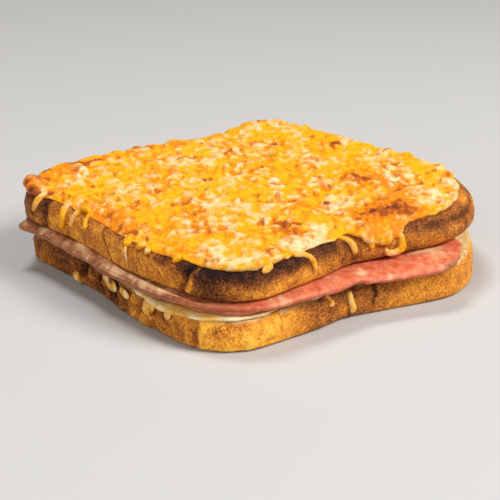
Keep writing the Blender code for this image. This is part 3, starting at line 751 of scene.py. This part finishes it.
# Boiled ham, cut thin: moist pink meat with pale seams of fat, gone brown and dry where the grill caught its edge. On
# its left side the brown is partly painted shade, and pale patches on top of its curled rim are a painted sheen
hamLook = {
    "sockets": {"Roughness": 0.42, "IOR": 1.4, "Specular IOR Level": 0.3, "Subsurface Weight": 0.12,
                "Subsurface Radius": (1.0, 0.35, 0.25), "Subsurface Scale": 1.5 * mm},
    "meat": [(0.36, "#C8583A"), (0.64, "#DE805A")],
    "dryAndShadedMeat": [(0.32, "#84492C"), (0.66, "#B4744A")],
    "fat": "#E6B688",
    "fibre": {"Scale": 1 / (2.2 * mm), "Detail": 4},  # bundles of fibres, cut across
    "fine": {"Scale": 1 / (0.7 * mm), "Detail": 3},  # breaks up the edge of the fat
    "seam": {"From Min": 0.4, "From Max": 1.2},  # where a seam of fat starts and is full
    "relief": {"Strength": 0.4, "Distance": 0.3 * mm},
    "waviness": 0.4,
    # strength, size in mm and seed of its bumps, its marbling, its flecks of fat and the pale patches where it is
    # dry, which lie on its upward faces as a painted sheen
    "bumps": [(.1, 5, 4), (.05, 2, 5)],
    "marbling": [(.19, 4, 6)], "flecks": [(.17, 1.6, 7)], "drySheen": [(.2, 5, 8)],
    # direction, how dry; on the left side, from 125 to 218 degrees, this is partly painted shade
    "dry": [(20, .3), (60, .2), (100, .6), (125, .9), (150, 1), (205, 1), (218, .65), (229, .14), (240, .08),
            (300, 0), (340, .2)],
    # place, reach and strength of pale seams of fat, of pale dry patches on the curled rim (a painted sheen on its
    # upward faces), and of the brown corner (darker away from the top: partly painted shade)
    "seams": [(17.5, -58.5, 3.6, 1), (10, -60, 3, .35), (-8.5, -56.5, 1.3, 1), (-4, -56.5, 2.4, .35),
              (-39, -56.5, 2, .4), (-20, -56, 2.5, .25)],
    "pale": [(-57.5, 33.6, 4, .9), (-59.5, 13.5, 4, .8), (-62, -8, 4.5, .9), (-62.5, -16, 3.5, .7),
             (-62.5, -27.5, 4, .8)],
    "brownCorner": [(20, -66.9, 3.4, 1.9)],
}
lowerHamRim = [
    (0, -2.6, 0), (20, -.4, 0), (48, -2.4, 0), (75, 1, .2), (102, .4, 0), (124, -1, 0), (137, .6, .3), (150, 2, .5),
    (190, 1.4, .4), (224, 0, 0), (245, -1, 0), (256, -.6, .2), (264, 2.4, .9), (275, 3.2, 1.2), (285, 3.4, 1.2),
    (290, 1.6, .5), (296, -3, 0), (306, -9, 0), (325, -13, 0), (342, -9, 0),
]
upperHamRim = [
    (0, -2, 0), (24, 1.2, .3), (50, -1.4, 0), (72, .6, .2), (96, 2.4, .8), (118, .6, .2), (132, .6, .3),
    (136, 1.4, .5), (139.5, 4.8, 1), (142.5, 3.2, 1.2, .4), (148, 3.6, 1.5, 1), (165, 4.2, 1.6, 1.4),
    (180, 3.8, 1.8, 1.4), (205, 2.8, 1.2, 1), (216, 1.4, .6, .4), (222, .8, .5), (236, 2.4, 1.4), (243, 3.4, 1.8),
    (250, 4.4, 1.7), (257, 5, 1.8), (264, 5.6, 2.7), (275, 6.6, 2.9), (284, 7.2, 2.9), (289, 6.2, 2.4),
    (291.5, 4.6, 1.6), (293, 3, .6), (296, 1.6, .2), (299, -3, 0), (309, -8, 0), (325, -12, 0), (342, -8, 0),
]


def softLayer(base, thickness, rim, look, seed):
    # A layer that lies flat, then curves down past the crust: from the side, its rim is a quarter of an ellipse.
    # Rings go from the middle of the underside, out to the rim, round it, and back to the middle of the top. Bumps
    # are then added along the normals.
    outline, normals = loafOutline(evenStops(loaf["stops"]), filling["place"])
    edges, direction = {"outline": outline, "normals": normals}, directionOf(*outline.T)
    reach, drop, curl = eased([(station + (0.0,))[:4] for station in rim], direction)
    ring = np.column_stack([outline, 0 * reach])
    waviness = look["waviness"]
    reach = reach + waviness * fields(ring, filling["waves"], seed)
    strength, size, number = filling["dropWave"]
    drop = np.maximum(drop + waviness * strength * field(ring, size, seed + number), 0.0) * smooth(-4.0, 0.0, reach)
    start = np.minimum(reach, -loaf["topEdge"]) - 0.5
    hinge = outline + normals * start[:, None]
    level = base(*hinge.T)
    thick = thickness * (1 + fields(ring, filling["thickWaves"], seed))
    lip = thick * drop / (drop + 1.0)
    quarter = np.linspace(0, np.pi / 2, filling["rimRings"])
    rings = [innerRing(hinge, share, base) for share in (0.3, 0.7)]
    for turn in quarter:
        rings.append(outerRing(edges, start + (reach - start) * np.sin(turn), level - drop * (1 - np.cos(turn))))
    middle, half = (reach + (reach + lip)) / 2, ((reach + lip) - reach) / 2
    for turn in np.linspace(0, np.pi, filling["endRings"])[1:-1]:
        rings.append(outerRing(edges, middle - half * np.cos(turn) + 0.3 * (thick + curl) * np.sin(turn),
                               level - drop + (thick + 0.6 * curl) * (1 - np.cos(turn)) / 2))
    for turn in quarter[::-1]:
        out = start + (reach + lip - start) * np.sin(turn)
        curled = curl * smooth(0.9, 2.4, out) * (1 - 0.4 * smooth(2.4, 4.4, out))
        rings.append(outerRing(edges, out, level - drop * (1 - np.cos(turn)) + thick + curled))
    rings += [innerRing(hinge, share, base, thick) for share in (0.7, 0.3)]
    grid = np.array(rings)
    return grid + gridNormals(grid) * fields(grid, look["bumps"], seed)[..., None], direction


def makeHamMaterial():
    # Fibres run from deep pink to pink, or in browns by how dry it is, which is partly painted shade; the share of
    # pale fat, which is partly a painted sheen, is smooth of fat + fine / 2
    look = hamLook
    material, tree, shader, place, fat, dry = newMaterial("cookedHamSlice", look["sockets"], "fat", "dry")
    fibre, fine = (addNode(tree, "TexNoise", {"Vector": place, **look[pattern]}) for pattern in ("fibre", "fine"))
    meat, brown = (addNode(tree, "ValToRGB", {"Fac": fibre}, stops=look[tones]) for tones in ("meat", "dryAndShadedMeat"))
    colour = addNode(tree, "Mix", {"Factor": dry, 6: meat, 7: brown}, 2, data_type="RGBA")
    seam = addNode(tree, "Math", {0: fine, 1: 0.5, 2: fat}, operation="MULTIPLY_ADD")
    seam = addNode(tree, "MapRange", {"Value": seam, **look["seam"]}, interpolation_type="SMOOTHSTEP")
    colour = addNode(tree, "Mix", {"Factor": seam, 6: colour, 7: linearColour(look["fat"])}, 2, data_type="RGBA")
    relief = addNode(tree, "Bump", {"Height": fibre, **look["relief"]})
    setInputs(tree, shader, {"Base Color": colour, "Normal": relief})
    return material


def makeHam(name, base, rim, material, seed, node):
    # A soft layer whose marks are how dry it is, by direction and at the brown corner, and how fat: an even share,
    # fields of two sizes, seams and pale patches. The dryness holds painted shade on the left side and under the
    # corner, and the pale patches on upward faces of the rim are a painted sheen
    look = hamLook
    grid, direction = softLayer(base, layers["ham"], rim, look, seed)
    x, y, upper = grid[..., 0], grid[..., 1], gridNormals(grid)[..., 2]
    dry = eased(look["dry"], direction)[0] + 0 * x
    # The brown corner, darker where it does not face up: partly painted shade
    dry = np.clip(dry + spots(look["brownCorner"], x, y) * (1 - 0.8 * smooth(0.2, 0.9, upper)), 0, 1)
    fat = 0.10 + fields(grid * (0.7, 1, 1.2), look["marbling"], seed) + fields(grid, look["flecks"], seed)
    # Pale patches on the upward faces of the curled rim: a painted sheen
    fat += 0.7 * spots(look["seams"], x, y) + 0.85 * spots(look["pale"], x, y) * smooth(0.1, 0.8, upper)
    # On the dry rim, pale patches that grow on the upward faces: a painted sheen
    fat += smooth(0.3, 0.9, dry) * (fields(grid, look["drySheen"], seed) + 0.3 * smooth(0.5, 1.0, upper) - 0.25)
    makePiece(name, *closedSurface(grid), material, {"fat": fat, "dry": dry}, "cooked_ham", node)


def makeSauceMaterial():
    # tone = toasted + 0.8 mottle, and a ramp turns it to colour
    look = sauceLook
    material, tree, shader, place, toasted = newMaterial("creamSauce", look["sockets"], "toasted")
    mottle = addNode(tree, "TexNoise", {"Vector": place, **look["mottle"]})
    tone = addNode(tree, "Math", {0: mottle, 1: 0.8, 2: toasted}, operation="MULTIPLY_ADD")
    colour = addNode(tree, "ValToRGB", {"Fac": tone}, stops=look["tones"])
    relief = addNode(tree, "Bump", {"Height": mottle, **look["relief"]})
    setInputs(tree, shader, {"Base Color": colour, "Normal": relief})
    return material


hamMaterial = makeHamMaterial()
sauceMaterial = makeSauceMaterial()
makeHam("lowerHam", lowerHamBase, lowerHamRim, hamMaterial, 50, "ham_slice_lower")
makeHam("upperHam", upperHamBase, upperHamRim, hamMaterial, 70, "ham_slice_upper")
sauce, sauceFaces = closedSurface(softLayer(sauceBase, layers["sauce"], sauceLook["rim"], sauceLook, 90)[0])
makePiece("cheeseSauce", sauce, sauceFaces, sauceMaterial, {"toasted": 0.05 + 0.3 * field(sauce, 6.0, 96)},
          "cheese_sauce", "cheese_sauce")

# Cheese that ran down the upper crust: direction, height, half width, thickness
cheeseRuns = [
    [(144.2, 26.2, 1, .8), (145.4, 25, 1.1, .9), (144.9, 22.6, 1, .9), (144.3, 20, .9, .8)],
    [(154.6, 25.6, 1, .7), (155.4, 24.1, 1.1, .8), (156.3, 21.4, 1.1, .8), (156.1, 18, 1.3, .9)],
    [(162.4, 25.8, .9, .7), (161.8, 24.4, .9, .8), (160.9, 22.4, .8, .8), (160.6, 19.8, 1, .8)],
    [(160.4, 25.5, .7, .6), (163, 25.6, 1, .8), (165.8, 25.6, .8, .7)],
    [(165.4, 25.8, .9, .8), (167, 23.6, .8, .7), (169, 21.4, .8, .8)],
    [(189, 24.6, 1, .9), (190.4, 23.6, 1.3, 1.1), (191.2, 22.8, .8, .7)],
    [(190.6, 23, .5, .5), (191.6, 21.2, .45, .45), (192.4, 18.8, .5, .5)],
    [(195, 24.2, 1.1, .9), (196.2, 23.3, 1.3, 1.1)],
    [(198.4, 23.8, .9, .8), (199.6, 22.9, 1, .9)],
    [(207.6, 24.1, 1.2, .9), (209, 23.2, 1.4, 1.1)],
    [(229.6, 22.9, 1.2, 1), (231.4, 23.4, 1.2, 1.1), (233.2, 24.2, 1, 1), (236, 24.6, .9, .9), (239.6, 24, .8, .9),
     (242.2, 23.4, .8, .9), (243.5, 21.4, .8, .9), (243.8, 18.4, 1, .9)],
    [(250.6, 25.2, .8, .7), (254, 24.7, .7, .7), (257.2, 24.1, .7, .7), (259.4, 22.6, .9, .8), (260.4, 20.8, 1, .9),
     (260.6, 19, .8, .8)],
    [(267, 23, 1, .8), (267.5, 19.6, .8, .8)],
    [(277.6, 23.4, 1, .8), (278.2, 20.4, 1.1, .8), (278, 17.8, 1.3, .8), (275.8, 16.8, 1.1, .7),
     (273.4, 17.4, .9, .6), (272.6, 18.8, .7, .5)],
]

# Sauce that ran down the lower crust
sauceRuns = [
    [(249.2, 10, 1, .6), (249.8, 8.4, .9, .7), (249.8, 6.2, 1.1, .8)],
    [(249, 10.2, .9, .6), (253, 9.9, 1.1, .7), (257, 10.1, .9, .6)],
    [(256.9, 10, .9, .6), (257.6, 7, .8, .7), (258.4, 4, 1.1, .8), (258.8, 1.8, 1.1, .8)],
    [(174.6, 7.8, 1.6, .45), (179.4, 7.4, 2.2, .6), (184, 6.8, 1.5, .5)],
    [(186.2, 7.6, 1, .4), (188.8, 7.3, 1.4, .5), (191.4, 7, 1, .35)],
    [(155.6, 2.4, 1.2, .7), (158.6, 2.7, 1.5, .9), (161.8, 2.2, 1.1, .7)],
    [(199.4, 9.6, 2.6, .35), (200.8, 8.2, 3.6, .45), (202.4, 6.8, 2.6, .35)],
    [(206.6, 9, 1.5, .3), (207.2, 7.6, 2, .4), (207.8, 6.4, 1.3, .3)],
]


def strand(look, stations, sides=12):
    # A run of soft cheese or sauce laid on a crust. A smooth curve (3t^2 - 2t^3, with slopes) joins its stations,
    # and the section is an ellipse that closes at both ends, as the square root of 1 - distance^6.
    table = np.array(stations, float)
    steps = np.linspace(0, len(table) - 1, 8 * len(table))
    before = np.clip(steps.astype(int), 0, len(table) - 2)
    share = (steps - before)[:, None]
    slopes = np.gradient(table, axis=0)
    path = ((2 * share ** 3 - 3 * share ** 2 + 1) * table[before]
            + (share ** 3 - 2 * share ** 2 + share) * slopes[before]
            + (3 * share ** 2 - 2 * share ** 3) * table[before + 1]
            + (share ** 3 - share ** 2) * slopes[before + 1])
    direction, heights, half, thick = path.T
    edges = sliceEdges(look, evenStops(loaf["measuringStops"]))
    around = edges.pop("direction")
    order = np.argsort(around)
    local = {key: np.stack([np.interp(direction, around[order], part[order]) for part in np.atleast_2d(values.T)],
                           axis=-1).squeeze() for key, values in edges.items()}
    radius = loaf["topEdge"]
    rounding = np.clip((heights - local["high"] + radius) / radius, 0, 1)
    inset = radius * (1 - np.sqrt(1 - rounding ** 2))
    outward = np.column_stack([local["normals"] * np.sqrt(1 - rounding ** 2)[:, None], rounding])
    ground = outerRing(local, bellyOut(local, heights) - inset, heights)
    along = np.gradient(ground, axis=0)
    along /= np.linalg.norm(along, axis=1, keepdims=True)
    across = np.cross(along, outward)
    across /= np.linalg.norm(across, axis=1, keepdims=True)
    ends = np.sqrt(np.clip(1 - np.abs(np.linspace(-1, 1, len(path))) ** 6, 0, 1)) + 0.02
    turn = np.linspace(0, 2 * np.pi, sides, endpoint=False)
    grid = (ground[:, None] + across[:, None] * (np.cos(turn) * (half * ends)[:, None])[..., None]
            + outward[:, None] * (0.35 * thick[:, None] + np.sin(turn) * (thick * ends)[:, None])[..., None])
    grid += outward[:, None] * (0.12 * field(grid, 2.2, 99) + 0.1 * field(grid, 1.0, 98))[..., None]
    return grid[:, ::-1]


def layStrands(look, runs):
    # All the strands on a crust in one mesh: each one's numbers start where the last one's end
    vertices, faces = [], []
    for stations in runs:
        points, quads = closedSurface(strand(look, stations), sum(map(len, vertices)))
        vertices.append(points)
        faces += quads
    return np.concatenate(vertices), faces


runs, runFaces = layStrands(upperSlice, cheeseRuns)
makePiece("cheeseRuns", runs, runFaces, cheeseMaterial,
          {"cream": 0.34 + 0.4 * field(runs, 4.0, 101), "oily": 0.25 + 0.35 * field(runs, 3.0, 102),
           "browned": 0.15 + 0.3 * field(runs, 2.5, 103)}, "melted_cheese")
drops, dropFaces = layStrands(lowerSlice, sauceRuns)
# the drops at both ends of the crust are the most toasted
dropTone = 0.12 + 0.2 * smooth(-50.0, -56.0, drops[:, 0]) + 0.2 * smooth(-30.0, -20.0, drops[:, 0])
makePiece("sauceRuns", drops, dropFaces, sauceMaterial, {"toasted": dropTone + 0.25 * field(drops, 2.0, 111)},
          "cheese_sauce")

# Floor, light and camera
studio = {
    "floor": "#C0BEBB", "floorReach": 15,  # metres from the middle
    "daylight": (1.0, 0.98, 0.95, 1.0), "fill": 0.13,
    # each light: where it stands, how wide it is and its power in watts
    "lights": {"keyLight": ((0.35, -0.75, 0.75), 0.5, 12.5), "topLight": ((0.0, 0.3, 1.0), 0.3, 5.5),
               "sideLight": ((-0.85, -0.3, 0.5), 0.6, 4.0)},
    "azimuth": -42.463, "elevation": 17.581, "distance": 0.50674,  # of the camera from its target
    "targetHeight": 0.0251, "aim": (-0.1078, 2.2491),  # degrees that it turns off the target
    "lens": 115.2, "sensor": 36.0,
}


def buildStudio():
    # The camera stands back from the target along its azimuth and elevation, and then turns a little
    reach = studio["floorReach"]
    floorMesh = bpy.data.meshes.new("floor")
    floorMesh.from_pydata([(-reach, -reach, 0), (reach, -reach, 0), (reach, reach, 0), (-reach, reach, 0)], [],
                          [(0, 1, 2, 3)])
    floor = bpy.data.objects.new("floor", floorMesh)
    scene.collection.objects.link(floor)
    # Board with matt paint: nothing shines in it, so that only the soft shadow shows
    floorSockets = {"Roughness": 0.8, "Base Color": linearColour(studio["floor"])}
    floorMesh.materials.append(newMaterial("paleStudioFloor", floorSockets)[0])

    world = bpy.data.worlds.new("softbox")
    scene.world = world
    world.use_nodes = True
    background = world.node_tree.nodes["Background"].inputs
    background["Color"].default_value, background["Strength"].default_value = studio["daylight"], studio["fill"]
    for name, (position, size, power) in studio["lights"].items():
        lamp = bpy.data.lights.new(name, "AREA")
        lamp.energy, lamp.size = power, size
        light = bpy.data.objects.new(name, lamp)
        scene.collection.objects.link(light)
        facing = (-Vector(position)).to_track_quat("-Z", "Y").to_matrix().to_4x4()  # at the sandwich
        light.matrix_world = Matrix.Translation(position) @ facing

    azimuth, elevation, yaw, pitch = np.radians([studio["azimuth"], studio["elevation"], *studio["aim"]])
    back = Vector((np.sin(azimuth) * np.cos(elevation), -np.cos(azimuth) * np.cos(elevation), np.sin(elevation)))
    target = Vector((middleOfLoaf[0] * mm, middleOfLoaf[1] * mm, studio["targetHeight"]))
    look = Matrix.Rotation(-pitch, 3, Vector((np.cos(azimuth), np.sin(azimuth), 0.0))) @ -back
    look = Matrix.Rotation(-yaw, 3, Vector((0.0, 0.0, 1.0))) @ look
    sideways = look.cross(Vector((0, 0, 1))).normalized()
    turned = Matrix((sideways, sideways.cross(look), -look)).transposed().to_4x4()
    lens = bpy.data.cameras.new("camera")
    lens.lens, lens.sensor_width = studio["lens"], studio["sensor"]
    camera = bpy.data.objects.new("camera", lens)
    scene.collection.objects.link(camera)
    camera.matrix_world = Matrix.Translation(target + back * studio["distance"]) @ turned
    scene.camera = camera
    scene.view_settings.view_transform = "Standard"
    print("studio ready")


buildStudio()
